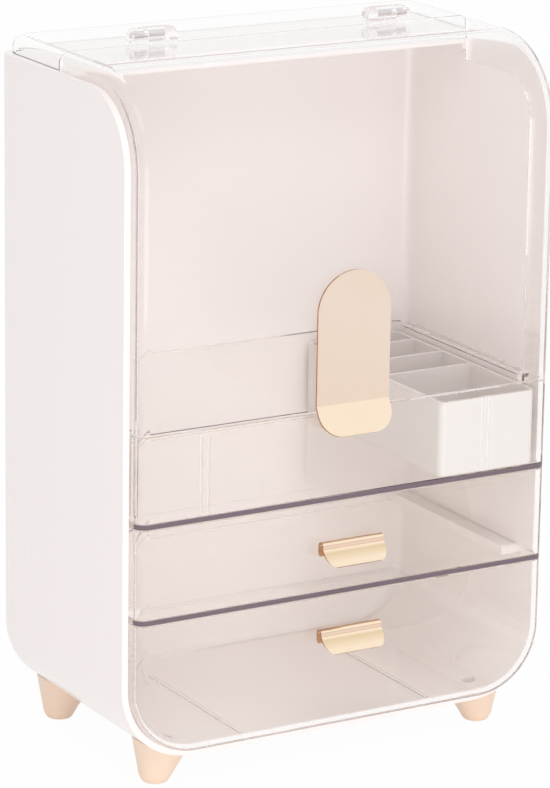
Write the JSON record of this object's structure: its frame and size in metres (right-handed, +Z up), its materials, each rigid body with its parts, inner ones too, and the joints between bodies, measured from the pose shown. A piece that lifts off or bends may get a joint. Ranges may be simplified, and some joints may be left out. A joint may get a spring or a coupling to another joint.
{
  "type": "makeup organizer",
  "caption": "Countertop makeup organizer: white round-cornered casing on splayed feet, hinged clear lid over a clear tray with an insert, clear drawers below with gold pulls.",
  "frame": {"origin": "on the surface it stands on, under the middle of the object's outline", "axes": "-Y is the front with the pulls, +X is to the right seen from the front, +Z is up"},
  "size_m": [0.25, 0.1575, 0.377],
  "materials": {
    "shell": "gloss warm white",
    "clear_plastic": "clear, polished, faint warm grey-pink tint",
    "hinge_plastic": "clear, polished",
    "gold_metal": "satin champagne gold",
    "adhesive_pad": "foam tape",
    "foot": "satin peach",
    "steel": "bright",
    "insert": "gloss white"
  },
  "bodies": {
    "casing_body": {"casing": "shell", "back_panel": "shell", "top_panel": "shell", "rear_cover": "clear_plastic", "tray": "clear_plastic", "tray_rail_left": "shell", "tray_rail_right": "shell", "drawer_rail_left": "shell", "drawer_rail_right": "shell", "foot_front_left": "foot", "foot_front_right": "foot", "foot_rear_left": "foot", "foot_rear_right": "foot", "foot_screws": "steel", "hinge_block_left": "hinge_plastic", "hinge_block_right": "hinge_plastic", "hinge_pin_left": "steel", "hinge_pin_right": "steel"},
    "lid_body": {"lid": "clear_plastic", "lid_handle": "gold_metal", "lid_handle_pad": "adhesive_pad", "hinge_leaf_left": "hinge_plastic", "hinge_leaf_right": "hinge_plastic"},
    "upper_drawer_body": {"upper_drawer": "clear_plastic", "upper_pull": "gold_metal", "upper_pull_pad": "adhesive_pad"},
    "lower_drawer_body": {"lower_drawer": "clear_plastic", "lower_pull": "gold_metal", "lower_pull_pad": "adhesive_pad"},
    "insert_body": {"tray_insert": "insert"}
  },
  "joints": [
    {"name": "lid_hinge", "type": "hinge", "parent": "casing_body", "child": "lid_body", "pos_m": [0, 0.0187, 0.3732], "axis": [-1, 0, 0], "range_deg": [0, 180]},
    {"name": "upper_drawer_slide", "type": "slide", "parent": "casing_body", "child": "upper_drawer_body", "axis": [0, -1, 0], "range_m": [0, 0.1]},
    {"name": "lower_drawer_slide", "type": "slide", "parent": "casing_body", "child": "lower_drawer_body", "axis": [0, -1, 0], "range_m": [0, 0.1]},
    {"name": "insert_lift", "type": "slide", "parent": "casing_body", "child": "insert_body", "axis": [0, 0, 1], "range_m": [0, 0.06]}
  ]
}
